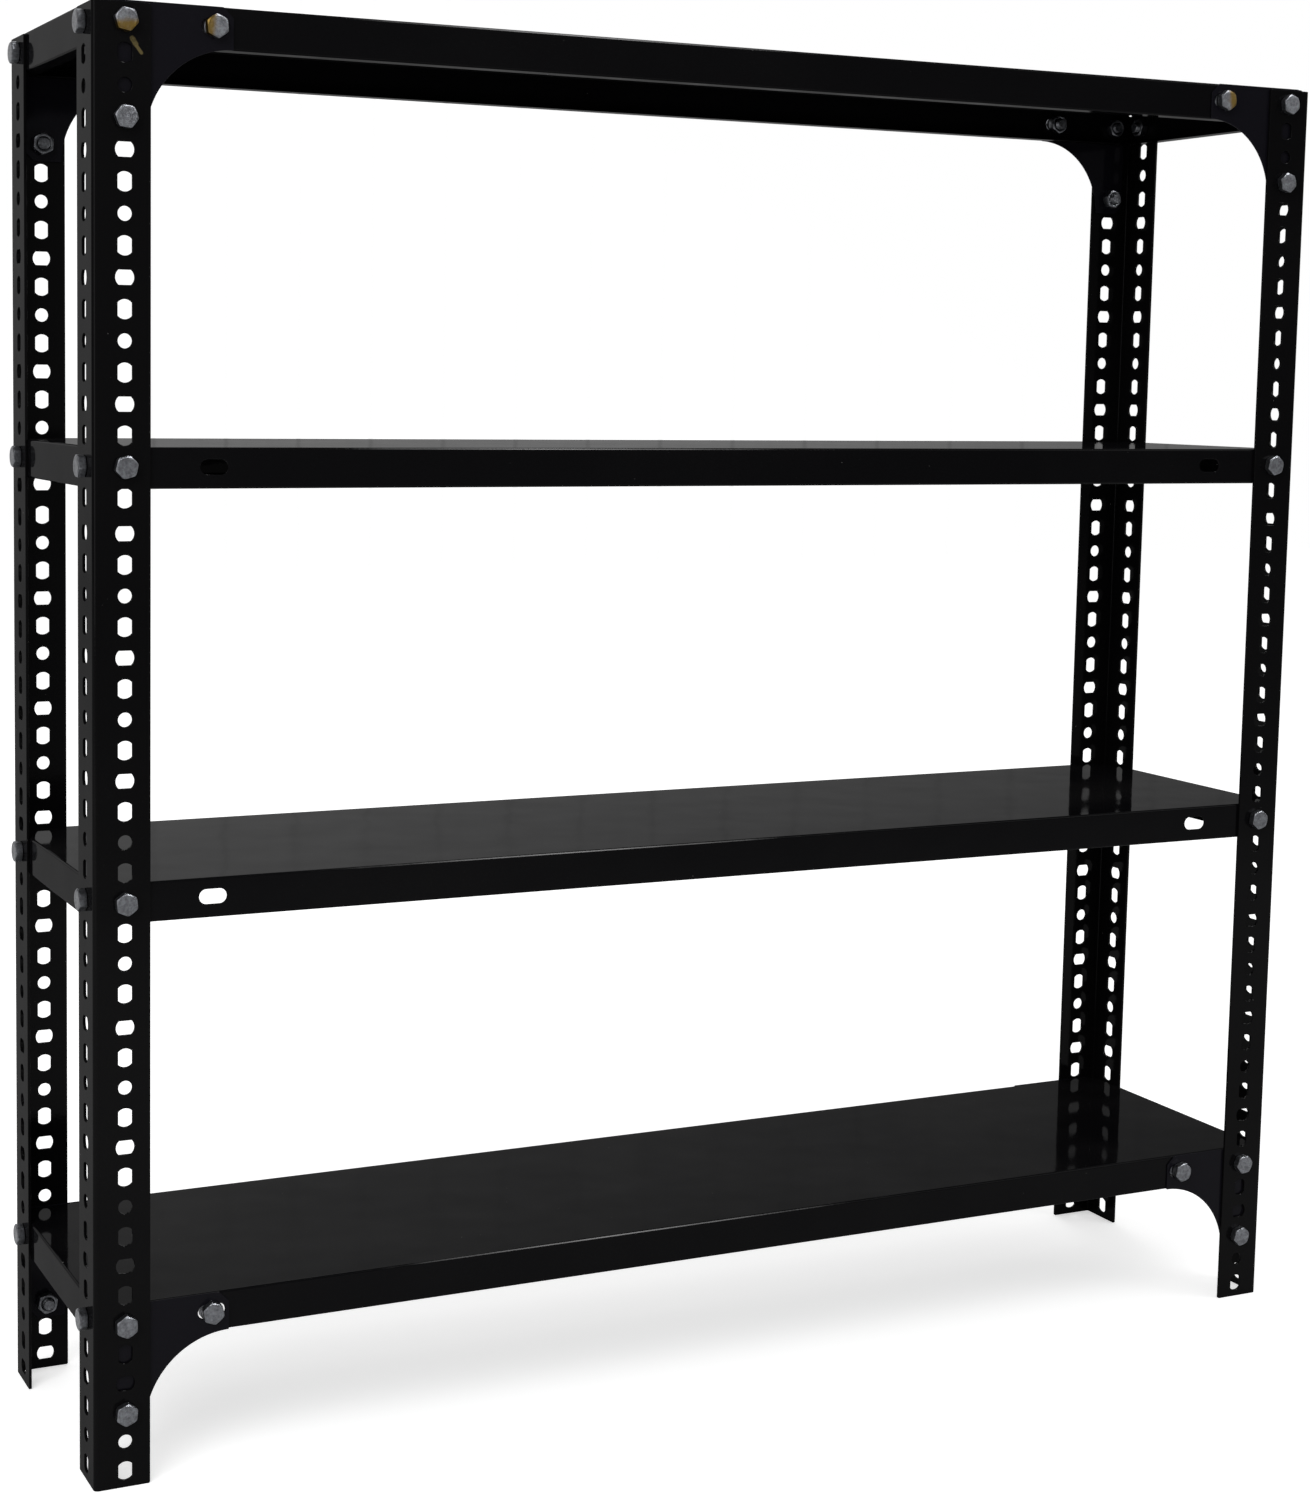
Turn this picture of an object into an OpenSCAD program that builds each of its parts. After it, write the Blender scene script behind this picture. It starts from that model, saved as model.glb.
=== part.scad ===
// Four-shelf storage rack: slotted angle posts, folded sheet trays, corner
// gussets, and hexagon bolts and nuts. Millimetres, +Z up. The origin is on the
// floor, at the centre of the four posts, and -Y is the front.

/* [Posts] */
// Length that the press punches in one stroke; a post is a whole number of them
stroke_len = 304.8; // [300:0.1:312]
// Number of punched strokes in a post
post_strokes = 3; // [3:1:5]
// Distance between neighbouring holes of one stroke
hole_pitch = 18.9; // [18:0.1:19.4]
// Width of each flange of the angle
flange_w = 36; // [34:0.5:42]
// Thickness of the angle's steel
post_t = 2; // [1.5:0.1:2.5]
// Outside radius of the angle's bend
bend_r = 3; // [2.6:0.1:5]
// Distance from the angle's outer corner to its line of holes
hole_line = 20; // [19:0.5:21]
// Diameter of a post's round holes, and width of its slots
post_hole_d = 9; // [8.6:0.1:10]
// Length of a post's slots, which are round holes with two flats
post_slot_len = 12; // [11:0.1:14]

/* [Shelves] */
// Width of a shelf tray, left to right
tray_w = 914.4; // [600:0.1:1200]
// Depth of a shelf tray that meets the post flanges directly
tray_d = 203.2; // [180:0.1:460]
// Thickness of a tray's sheet
tray_t = 0.8; // [0.6:0.1:1.2]
// Height of a tray's folded skirts
skirt_h = 25.4; // [24:0.1:32]
// Outside radius of a tray's folds
fold_r = 1.6; // [1.4:0.1:2.4]
// Width of the lip that returns under the tray from each skirt
lip_w = 11; // [8:0.5:14]
// Distance from a tray's top down to its row of holes
row_drop = 12; // [11:0.1:13]
// Diameter of a tray's corner holes
tray_hole_d = 9; // [8.6:0.1:10]
// Number of post holes from one shelf to the next
shelf_step = 14; // [12:1:14]

/* [Gussets] */
// Thickness of a corner gusset
gusset_t = 1.2; // [0.8:0.1:2]
// Width of each leg of a gusset
gusset_leg_w = 25.4; // [24:0.1:28]
// Length of a gusset's leg past its last hole
gusset_end = 11.5; // [10:0.5:14]
// Size of the chamfer at the outer corner of a leg's end
gusset_chamfer = 6.5; // [3:0.5:8]
// Number of post holes from a gusset's corner hole to its far hole
gusset_step = 3; // [3:1:4]
// Diameter of a gusset's round holes
gusset_hole_d = 9; // [8.6:0.1:10]
// Length of the slots that join a gusset to a skirt
link_slot_len = 18; // [16:0.5:19]
// Width of the slots that join a gusset to a skirt
link_slot_w = 9.5; // [9:0.1:10]

/* [Fasteners] */
// Thread diameter of the bolts
bolt_d = 8; // [7:0.1:8.4]
// Length of a bolt under its head
bolt_len = 12; // [11.5:0.1:13]
// Width across the flats of heads and nuts
hex_af = 13; // [12:0.1:13.5]
// Height of a bolt's head
head_h = 5.3; // [4:0.1:6]
// Height of a nut
nut_h = 6.5; // [5:0.1:6.8]
// Gap between a bolt and its nut's bore, all round
thread_gap = 0.1; // [0.05:0.05:0.2]
// Chamfer at a bolt's end and at the mouths of a nut's bore
thread_chamfer = 0.8; // [0.4:0.1:1]

/* [Hidden] */
CORNERS = ["front_left", "front_right", "rear_left", "rear_right"];
LEVELS = ["top", "upper", "lower", "bottom"];
TOP = 0;
BOTTOM = len(LEVELS) - 1;
$fn = 48;

POST_COLOR = [0.07, 0.07, 0.08];
TRAY_COLOR = [0.12, 0.12, 0.13];
GUSSET_COLOR = [0.09, 0.09, 0.10];
ZINC_COLOR = [0.80, 0.80, 0.76];

// How far a cutter runs past the faces that it cuts
cut = 1;

// Holes are numbered from a post's top. Those of one stroke are a pitch apart,
// and what is left of the stroke's length is shared by its two ends.
stroke_holes = 16;
stroke_end = (stroke_len - (stroke_holes - 1) * hole_pitch) / 2;
post_len = stroke_len * post_strokes;
post_holes = stroke_holes * post_strokes;
function hole_depth(i) =
    stroke_len * floor(i / stroke_holes) + stroke_end + hole_pitch * (i % stroke_holes);
// Holes repeat in fours: level slot, upright slot, round hole, upright slot
function is_level_slot(i) = i % 4 == 0;
function is_round_hole(i) = i % 4 == 2;

// A post's outer corner stands at (rack_x, rack_y), and its holes at hole_x or hole_y
rack_x = tray_w / 2 + post_t;
rack_y = tray_d / 2 + post_t;
hole_x = rack_x - hole_line;
hole_y = rack_y - hole_line;

// A skirt starts clear of the round inside of a post's bend, and of its neighbour's fold
fold_clear = 0.5;
skirt_start = max(bend_r - post_t, fold_r) + fold_clear;
lip_gap = 0.5;

// Heights of a shelf's row of bolts, and of its gussets' far bolts
function level_hole(l) = l * shelf_step;
function row_z(l) = post_len - hole_depth(level_hole(l));
function has_gussets(l) = l == TOP || l == BOTTOM;

// Both sets of gussets reach down from their shelf, a few holes along the posts
gusset_reach = gusset_step * hole_pitch;
gusset_far = gusset_reach + gusset_end;
gusset_inner = gusset_leg_w - row_drop;

// Hexagons: width across the corners, and the usual chamfer of 30 degrees
hex_ac = hex_af / cos(30);
hex_chamfer_slope = tan(30);

// Corner c is front left, front right, rear left or rear right
function x_sign(c) = c % 2 == 0 ? -1 : 1;
function y_sign(c) = c < 2 ? -1 : 1;
// Turn of a bolt or nut about its axis, as the spanner happened to leave it
function spanner_turn(l, c, k) = (l * 23 + c * 41 + k * 17) % 60;

// ---- Outlines ----

module slot_outline(length, width) {
    square([length - width, width], center = true);
    for (end = [-1, 1])
        translate([end * (length - width) / 2, 0])
            circle(d = width);
}

// Round hole with two flats, which leave it longer than it is wide
module flatted_outline(length, width) {
    intersection() {
        circle(d = length);
        square([length + 1, width], center = true);
    }
}

// Quarter ring that turns a leg along X into a leg along Y
module bend_outline(r, t) {
    translate([r, r])
        intersection() {
            difference() {
                circle(r);
                circle(r - t);
            }
            translate([-r, -r])
                square(r);
        }
}

module angle_outline() {
    bend_outline(bend_r, post_t);
    translate([bend_r, 0])
        square([flange_w - bend_r, post_t]);
    translate([0, bend_r])
        square([post_t, flange_w - bend_r]);
}

// Section of a tray's edge: X runs inwards from the skirt, Y down from the top
module skirt_outline() {
    bend_outline(fold_r, tray_t);
    translate([0, fold_r])
        square([tray_t, skirt_h - 2 * fold_r]);
}

module lip_outline() {
    translate([0, skirt_h])
        mirror([0, 1]) {
            bend_outline(fold_r, tray_t);
            translate([fold_r, 0])
                square([lip_w - fold_r, tray_t]);
        }
}

// Gusset about its corner hole: X runs along the shelf, Y along the post
module gusset_outline() {
    difference() {
        polygon([
            [-row_drop, -row_drop],
            [gusset_far - gusset_chamfer, -row_drop],
            [gusset_far, gusset_chamfer - row_drop],
            [gusset_far, gusset_far],
            [gusset_chamfer - row_drop, gusset_far],
            [-row_drop, gusset_far - gusset_chamfer]
        ]);
        translate([gusset_far, gusset_far])
            circle(gusset_far - gusset_inner);
        circle(d = gusset_hole_d);
        translate([0, gusset_reach])
            circle(d = gusset_hole_d);
        translate([gusset_reach, 0])
            slot_outline(link_slot_len, link_slot_w);
    }
}

// ---- Posts ----

// Cutter for hole number i, through a flange that lies along X
module post_hole(i) {
    translate([hole_line, post_t + cut, post_len - hole_depth(i)])
        rotate([90, 0, 0])
            linear_extrude(post_t + 2 * cut)
                if (is_round_hole(i))
                    circle(d = post_hole_d);
                else
                    rotate(is_level_slot(i) ? 0 : 90)
                        flatted_outline(post_slot_len, post_hole_d);
}

// Angle with its outer corner on the Z axis and its flanges along +X and +Y
module slotted_angle() {
    difference() {
        linear_extrude(post_len)
            angle_outline();
        for (i = [0 : post_holes - 1]) {
            post_hole(i);
            mirror([1, -1, 0])
                post_hole(i);
        }
    }
}

// The rear left post stands on its other end, so its slots come in the other order
module post(c) {
    upside_down = CORNERS[c] == "rear_left";
    color(POST_COLOR)
        translate([x_sign(c) * rack_x, y_sign(c) * rack_y, upside_down ? post_len : 0])
            mirror([x_sign(c) > 0 ? 1 : 0, 0, 0])
                mirror([0, y_sign(c) > 0 ? 1 : 0, 0])
                    mirror([0, 0, upside_down ? 1 : 0])
                        slotted_angle();
}

// ---- Shelves ----

// One edge of a tray along Y, with the outside of its skirt on X = 0
module tray_edge(skirt_len, lip_len) {
    rotate([-90, 0, 0]) {
        linear_extrude(skirt_len, center = true)
            skirt_outline();
        linear_extrude(lip_len, center = true)
            lip_outline();
    }
}

// Cutter through a skirt on X = 0 that runs along Y, on the row of holes
module skirt_cut(along) {
    translate([-cut, along, -row_drop])
        rotate([90, 0, 90])
            linear_extrude(tray_t + 2 * cut)
                children();
}

// Tray with its top on Z = 0: folded on four sides, with a lip under each skirt
module tray(depth) {
    difference() {
        union() {
            translate([0, 0, -tray_t])
                linear_extrude(tray_t)
                    square([tray_w - 2 * fold_r, depth - 2 * fold_r], center = true);
            for (turn = [0, 180]) {
                rotate(turn)
                    translate([-tray_w / 2, 0, 0])
                        tray_edge(depth - 2 * skirt_start, depth - 2 * skirt_start);
                rotate(turn + 90)
                    translate([-depth / 2, 0, 0])
                        tray_edge(tray_w - 2 * skirt_start, tray_w - 2 * (lip_w + lip_gap));
            }
        }
        for (turn = [0, 180], end = [-1, 1]) {
            rotate(turn)
                translate([-tray_w / 2, 0, 0])
                    skirt_cut(end * hole_y)
                        circle(d = tray_hole_d);
            rotate(turn + 90)
                translate([-depth / 2, 0, 0]) {
                    skirt_cut(end * hole_x)
                        circle(d = tray_hole_d);
                    skirt_cut(end * (hole_x - gusset_reach))
                        slot_outline(link_slot_len, link_slot_w);
                }
        }
    }
}

// Shelf number l. Where gussets lie between it and the posts, it is as much shallower
module shelf(l) {
    color(TRAY_COLOR)
        translate([0, 0, row_z(l) + row_drop])
            tray(has_gussets(l) ? tray_d - 2 * gusset_t : tray_d);
}

// ---- Gussets ----

// Plate behind a post's flange and against the skirt, from its corner hole down
module gusset(l, c) {
    color(GUSSET_COLOR)
        translate([x_sign(c) * hole_x, y_sign(c) * (rack_y - post_t), row_z(l)])
            mirror([0, y_sign(c) > 0 ? 1 : 0, 0])
                rotate([-90, 0, 0])
                    linear_extrude(gusset_t)
                        mirror([x_sign(c) > 0 ? 1 : 0, 0])
                            gusset_outline();
}

// ---- Fasteners ----

module hex_prism(height) {
    cylinder(h = height, d = hex_ac, $fn = 6);
}

// Cone that chamfers a hexagon's corners towards +Z, where the hexagon ends
module hex_chamfer_cone(height) {
    cylinder(h = height, r1 = hex_af / 2 + height / hex_chamfer_slope, r2 = hex_af / 2);
}

// Bolt along -Z, with the underside of its head on Z = 0
module bolt() {
    intersection() {
        hex_prism(head_h);
        hex_chamfer_cone(head_h);
    }
    translate([0, 0, thread_chamfer - bolt_len])
        cylinder(h = bolt_len - thread_chamfer, d = bolt_d);
    translate([0, 0, -bolt_len])
        cylinder(h = thread_chamfer, d1 = bolt_d - 2 * thread_chamfer, d2 = bolt_d);
}

// Nut from Z = 0 down, chamfered on both faces
module nut() {
    bore_r = bolt_d / 2 + thread_gap;
    translate([0, 0, -nut_h])
        difference() {
            intersection() {
                hex_prism(nut_h);
                hex_chamfer_cone(nut_h);
                translate([0, 0, nut_h])
                    mirror([0, 0, 1])
                        hex_chamfer_cone(nut_h);
            }
            translate([0, 0, -cut])
                cylinder(h = nut_h + 2 * cut, r = bore_r);
            for (face = [0, 1])
                translate([0, 0, face * nut_h])
                    mirror([0, 0, face])
                        cylinder(h = thread_chamfer, r1 = bore_r + thread_chamfer, r2 = bore_r);
        }
}

// Children along Y at corner c, outwards along +Z: `inset` in from the post's face
module on_front(c, x, inset, z) {
    translate([x_sign(c) * x, y_sign(c) * (rack_y - inset), z])
        rotate([-90 * y_sign(c), 0, 0])
            children();
}

// The same along X, on a post's side flange
module on_side(c, inset, z) {
    translate([x_sign(c) * (rack_x - inset), y_sign(c) * hole_y, z])
        rotate([0, 90 * x_sign(c), 0])
            children();
}

// At every corner of shelf l: one bolt through the front or rear, one through the side
module bolts_shelf(l) {
    color(ZINC_COLOR)
        for (c = [0 : len(CORNERS) - 1]) {
            on_front(c, hole_x, 0, row_z(l))
                rotate(spanner_turn(l, c, 0))
                    bolt();
            on_side(c, 0, row_z(l))
                rotate(spanner_turn(l, c, 1))
                    bolt();
        }
}

module nuts_shelf(l) {
    gusset_between = has_gussets(l) ? gusset_t : 0;
    color(ZINC_COLOR)
        for (c = [0 : len(CORNERS) - 1]) {
            on_front(c, hole_x, post_t + gusset_between + tray_t, row_z(l))
                rotate(spanner_turn(l, c, 2))
                    nut();
            on_side(c, post_t + tray_t, row_z(l))
                rotate(spanner_turn(l, c, 3))
                    nut();
        }
}

// At every gusset: a far bolt through the post, and a link bolt through the skirt
module bolts_gussets(l) {
    color(ZINC_COLOR)
        for (c = [0 : len(CORNERS) - 1]) {
            on_front(c, hole_x, 0, row_z(l) - gusset_reach)
                rotate(spanner_turn(l, c, 4))
                    bolt();
            on_front(c, hole_x - gusset_reach, post_t, row_z(l))
                rotate(spanner_turn(l, c, 5))
                    bolt();
        }
}

module nuts_gussets(l) {
    color(ZINC_COLOR)
        for (c = [0 : len(CORNERS) - 1]) {
            on_front(c, hole_x, post_t + gusset_t, row_z(l) - gusset_reach)
                rotate(spanner_turn(l, c, 6))
                    nut();
            on_front(c, hole_x - gusset_reach, post_t + gusset_t + tray_t, row_z(l))
                rotate(spanner_turn(l, c, 7))
                    nut();
        }
}

// ---- The rack ----

for (c = [0 : len(CORNERS) - 1])
    post(c);

for (l = [TOP : BOTTOM])
    shelf(l);

for (l = [TOP, BOTTOM], c = [0 : len(CORNERS) - 1])
    gusset(l, c);

for (l = [TOP : BOTTOM]) {
    bolts_shelf(l);
    nuts_shelf(l);
}

for (l = [TOP, BOTTOM]) {
    bolts_gussets(l);
    nuts_gussets(l);
}
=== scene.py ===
"""Slotted-angle storage rack: powder-coated posts, trays and gussets, zinc bolts and nuts."""

import math

import bmesh
import bpy
from bpy.props import FloatProperty, FloatVectorProperty, PointerProperty
from mathutils import Matrix, Vector
from mathutils.geometry import tessellate_polygon


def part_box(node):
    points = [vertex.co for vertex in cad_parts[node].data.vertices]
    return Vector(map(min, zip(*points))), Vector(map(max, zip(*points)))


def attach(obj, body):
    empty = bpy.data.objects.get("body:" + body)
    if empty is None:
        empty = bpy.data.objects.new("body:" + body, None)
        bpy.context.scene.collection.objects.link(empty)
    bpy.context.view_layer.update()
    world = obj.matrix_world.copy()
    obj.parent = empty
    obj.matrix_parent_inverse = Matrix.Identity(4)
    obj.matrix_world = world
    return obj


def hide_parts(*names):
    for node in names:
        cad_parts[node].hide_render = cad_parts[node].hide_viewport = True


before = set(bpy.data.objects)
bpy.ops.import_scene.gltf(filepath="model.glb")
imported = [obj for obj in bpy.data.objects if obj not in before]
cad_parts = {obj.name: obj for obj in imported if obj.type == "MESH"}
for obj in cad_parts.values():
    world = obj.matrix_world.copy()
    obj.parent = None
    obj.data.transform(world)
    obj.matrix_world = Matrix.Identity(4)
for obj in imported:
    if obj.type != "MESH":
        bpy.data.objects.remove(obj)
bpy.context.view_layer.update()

bl_info = {
    "name": "Slotted-angle storage rack",
    "version": (1, 0, 0),
    "blender": (4, 5, 0),
    "location": "3D View > Sidebar > Rack",
    "description": "Builds a bolted rack of slotted angles and tray shelves, with its stage",
    "category": "Object",
}

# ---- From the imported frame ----

CORNERS = ("front_left", "front_right", "rear_left", "rear_right")
LEVELS = ("top", "upper", "lower", "bottom")
GUSSET_LEVELS = (0, 3)
POST_LOW, POST_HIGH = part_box("post_front_left")
TRAY_LOW, TRAY_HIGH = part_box("shelf_upper")
SHELF_TOPS = tuple(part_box(f"shelf_{level}")[1].z for level in LEVELS)
RACK_X, RACK_Y = -POST_LOW.x, -POST_LOW.y
POST_LENGTH = POST_HIGH.z - POST_LOW.z
FLANGE_WIDTH = POST_HIGH.x - POST_LOW.x
POST_SHEET = TRAY_LOW.x - POST_LOW.x
TRAY_WIDTH = TRAY_HIGH.x - TRAY_LOW.x
TRAY_DEPTH = TRAY_HIGH.y - TRAY_LOW.y
SKIRT_HEIGHT = TRAY_HIGH.z - TRAY_LOW.z
GUSSET_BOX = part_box("gusset_top_front_left")
GUSSET_SHEET = GUSSET_BOX[1].y - GUSSET_BOX[0].y

# ---- Sizes that do not show in a node's box, in metres ----

STROKE_LENGTH = 0.3048
STROKE_HOLES = 16
HOLE_PITCH = 0.0189
# Posts that stand on their other end
UPSIDE_DOWN = ("rear_left",)
# How far a skirt's end stays clear of a bend or a fold, and a lip of the next one
FOLD_CLEAR = 0.0005
LIP_GAP = 0.0005
# Holes from a gusset's corner to its far ones
GUSSET_STEP = 3
THREAD_PITCH = 0.00125
THREAD_DEPTH = 0.00062
# Rounding of the sheets' corners
POST_CORNER = 0.0012
GUSSET_CORNER, GUSSET_CHAMFER_ROUND, GUSSET_ARC_END = 0.001, 0.0015, 0.0006
SKIRT_CORNER, LIP_CORNER, RELIEF_CORNER, RELIEF_FOOT = 0.0008, 0.002, 0.0005, 0.0006
# Share of the cut edge radius that the trays' thin sheet takes
THIN_SHEET_EDGE = 0.7

# Facets in the round of each bend, fold and arc
BEND_STEPS = 8
FOLD_STEPS = 6
ARC_STEPS = 28


def length(name, description, default):
    """A size in metres that shows in the panel in the scene's units."""
    shown = {"unit": "LENGTH", "subtype": "DISTANCE", "precision": 5}
    return FloatProperty(name=name, description=description, default=default, **shown)


def colour(name, description, default):
    """A colour that shows in the panel as a swatch."""
    shown = {"subtype": "COLOR", "size": 3, "min": 0.0, "max": 1.0}
    return FloatVectorProperty(name=name, description=description, default=default, **shown)


class RackSizes(bpy.types.PropertyGroup):
    """Sizes of the rack's own pieces."""

    bend_radius: length("Post bend radius", "Outside radius of the angle's bend", 0.003)
    hole_line: length("Hole line", "From the angle's outer corner to its line of holes", 0.020)
    hole_width: length("Hole width", "Diameter of round holes and width of slots in a post", 0.009)
    slot_length: length(
        "Slot length", "Length of the slots in a post, which are round holes with two flats", 0.012
    )
    cut_edge: length("Cut edge radius", "Rounding of cut edges under the powder coat", 0.00035)
    tray_sheet: length("Tray sheet", "Thickness of a tray's sheet", 0.0008)
    fold_radius: length("Tray fold radius", "Outside radius of a tray's folds", 0.0016)
    lip_width: length("Tray lip", "Width of the lip under each skirt", 0.011)
    row_drop: length("Row drop", "From a tray's top down to its row of holes", 0.012)
    gusset_leg: length("Gusset leg", "Width of each leg of a gusset", 0.0254)
    gusset_end: length("Gusset end", "Length of a gusset's leg past its last hole", 0.0115)
    gusset_chamfer: length("Gusset chamfer", "Chamfer at the corner of a leg's end", 0.0065)
    link_slot_length: length("Link slot length", "Slot between a gusset and a skirt", 0.018)
    link_slot_width: length("Link slot width", "Width of that slot", 0.0095)


class FastenerSizes(bpy.types.PropertyGroup):
    """Sizes of the bolts and nuts."""

    thread: length("Thread diameter", "Major diameter of the bolt's thread", 0.008)
    shank: length("Bolt length", "Length of a bolt under its head", 0.012)
    across_flats: length("Across flats", "Width of heads and nuts across the flats", 0.013)
    head_height: length("Head height", "Height of a bolt's head", 0.0053)
    nut_height: length("Nut height", "Height of a nut", 0.0065)
    bore_gap: length("Bore gap", "Gap between a bolt and its nut's bore, all round", 0.0001)
    chamfer: length("Thread chamfer", "Chamfer at the bolt's end and the nut's mouths", 0.0008)
    edge: length("Edge rounding", "Rounding of the hexagons' edges", 0.0002)


class RackColours(bpy.types.PropertyGroup):
    """Colours of the finishes."""

    post_coat: colour("Post coat", "Powder coat of the posts", (0.0030, 0.0029, 0.0032))
    tray_coat: colour("Tray coat", "Powder coat of the trays", (0.0030, 0.0029, 0.0034))
    gusset_coat: colour("Gusset coat", "Powder coat of the gussets", (0.0060, 0.0056, 0.0082))
    dust: colour("Dust", "Fine dust that lies on the coat", (0.050, 0.048, 0.046))
    bare_steel: colour("Chips", "Small chips in the coat", (0.16, 0.155, 0.15))
    zinc: colour("Zinc", "Bright zinc plate", (0.225, 0.237, 0.260))
    dull_zinc: colour("Dull zinc", "Zinc plate where it has gone dull", (0.088, 0.093, 0.106))
    passivation: colour("Passivation", "Yellow film on some of the zinc", (0.150, 0.098, 0.026))
    floor: colour("Floor", "Floor that the rack stands on", (0.82, 0.82, 0.82))


# ---- Finishes ----


class Term:
    """A socket in an expression. Arithmetic on it adds Math nodes."""

    def __init__(self, finish, socket):
        self.finish = finish
        self.socket = socket

    def join(self, operation, first, second, clamp=False):
        settings = {"operation": operation, "use_clamp": clamp}
        return self.finish.node("ShaderNodeMath", settings, {0: first, 1: second})

    def __add__(self, other):
        return self.join("ADD", self, other)

    def __radd__(self, other):
        return self.join("ADD", other, self)

    def __sub__(self, other):
        return self.join("SUBTRACT", self, other)

    def __rsub__(self, other):
        return self.join("SUBTRACT", other, self)

    def __mul__(self, other):
        return self.join("MULTIPLY", self, other)

    def __rmul__(self, other):
        return self.join("MULTIPLY", other, self)

    def __truediv__(self, other):
        return self.join("DIVIDE", self, other)

    def least(self, other):
        return self.join("MINIMUM", self, other)

    def most(self, other):
        return self.join("MAXIMUM", self, other)

    def __abs__(self):
        return self.finish.node("ShaderNodeMath", {"operation": "ABSOLUTE"}, {0: self})

    def fraction(self):
        return self.finish.node("ShaderNodeMath", {"operation": "FRACT"}, {0: self})

    def limited(self):
        return self.join("ADD", self, 0.0, clamp=True)

    def above(self, edge, soft):
        """0 below an edge, 1 from `soft` above it."""
        return self.join("DIVIDE", self - edge, soft, clamp=True)


class Finish:
    """A node tree under construction."""

    def __init__(self, tree):
        self.tree = tree
        tree.nodes.clear()

    def node(self, kind, settings=None, sockets=None, output=0):
        made = self.tree.nodes.new(kind)
        for name, value in (settings or {}).items():
            setattr(made, name, value)
        for key, value in (sockets or {}).items():
            if isinstance(value, Term):
                self.tree.links.new(value.socket, made.inputs[key])
            else:
                made.inputs[key].default_value = value
        return Term(self, made.outputs[output])

    def end(self, kind, term):
        made = self.tree.nodes.new(kind)
        self.tree.links.new(term.socket, made.inputs["Surface"])

    def at(self):
        """The point on the piece."""
        return self.node("ShaderNodeTexCoord", output="Object")

    def part(self, vector, axis):
        """One part of a vector."""
        return self.node("ShaderNodeSeparateXYZ", None, {0: vector}, axis)

    def ray(self, kind):
        """1 where what looks is a ray of that kind, 0 elsewhere."""
        return self.node("ShaderNodeLightPath", output=f"Is {kind} Ray")

    def place(self, scale, turn):
        """The point on the piece, scaled and turned."""
        sockets = {"Vector": self.at(), "Scale": scale, "Rotation": turn}
        return self.node("ShaderNodeMapping", None, sockets)

    def noise(self, scale, detail, roughness, at=None):
        values = {"Scale": scale, "Detail": detail, "Roughness": roughness}
        return self.node("ShaderNodeTexNoise", None, {"Vector": at or self.at(), **values}, "Fac")

    def mix(self, factor, first, second):
        values = {0: factor, 6: first, 7: second}
        return self.node("ShaderNodeMix", {"data_type": "RGBA"}, values, 2)

    def bump(self, height, distance, strength, normal=None):
        values = {"Height": height, "Distance": distance, "Strength": strength}
        if normal:
            values["Normal"] = normal
        return self.node("ShaderNodeBump", None, values)

    def upward(self):
        """1 on faces that look up, 0 on walls and undersides."""
        normal = self.node("ShaderNodeNewGeometry", output="Normal")
        return self.part(normal, "Z").above(0.6, 0.3)

    def near_segment(self, start, end, radius, soft):
        """1 within a radius of the line from start to end, 0 past a soft edge."""
        start, end = Vector(start), Vector(end)
        along = end - start

        def vector_math(operation, sockets, output=0):
            return self.node("ShaderNodeVectorMath", {"operation": operation}, sockets, output)

        offset = vector_math("SUBTRACT", {0: self.at(), 1: tuple(start)})
        along_share = tuple(along / along.length_squared)
        share = vector_math("DOT_PRODUCT", {0: offset, 1: along_share}, "Value").limited()
        nearest = vector_math("SCALE", {0: tuple(along), "Scale": share})
        distance = vector_math("DISTANCE", {0: offset, 1: nearest}, "Value")
        return 1 - distance.above(radius - soft, soft)


def rgba(values):
    """An opaque colour."""
    return (*values, 1.0)


BLACK, WHITE = rgba((0.0, 0.0, 0.0)), rgba((1.0, 1.0, 1.0))


# Grain of the powder coat, in repeats a metre, and how deep each shows in its skin, in metres
PEEL_GRAIN, PEEL_DEPTH = 520.0, 0.00004
WAVE_GRAIN, WAVE_DEPTH = 26.0, 0.0006
CHIP_GRAIN, CHIP_DEPTH = 330.0, 0.00008
DUST_GRAIN = 7.0
GRIT_GRAIN = 1500.0
# Hairline rubs: grain along each axis, turn in radians, and the share of noise that stays out
RUBS = (((9.0, 700.0, 700.0), 0.35, 0.66), ((700.0, 11.0, 700.0), -0.6, 0.67))
COAT_IOR = 1.42

# The scar under the front left post's top bolt: start, end, radius and soft edge of both strokes
SCAR_TOP = ((-0.4347, -0.1036, 0.8932), (-0.4326, -0.1036, 0.8898), 0.0024, 0.0012)
SCAR_FOOT = ((-0.4322, -0.1036, 0.8890), (-0.4292, -0.1036, 0.8850), 0.0015, 0.0008)
SCAR_COLOUR = (0.098, 0.078, 0.034)


def post_scar(f):
    """Mask and colour of a slanting scar with a yellow primer in it."""
    ragged = 0.5 + f.noise(900.0, 3.0, 0.6)
    wide = f.near_segment(*SCAR_TOP) * 0.75
    narrow = f.near_segment(*SCAR_FOOT)
    return (wide.most(narrow) * ragged).above(0.35, 0.5), SCAR_COLOUR


def blank_material(name):
    """A new material, and the builder of its empty node tree."""
    material = bpy.data.materials.new(name)
    material.use_nodes = True
    return material, Finish(material.node_tree)


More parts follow.
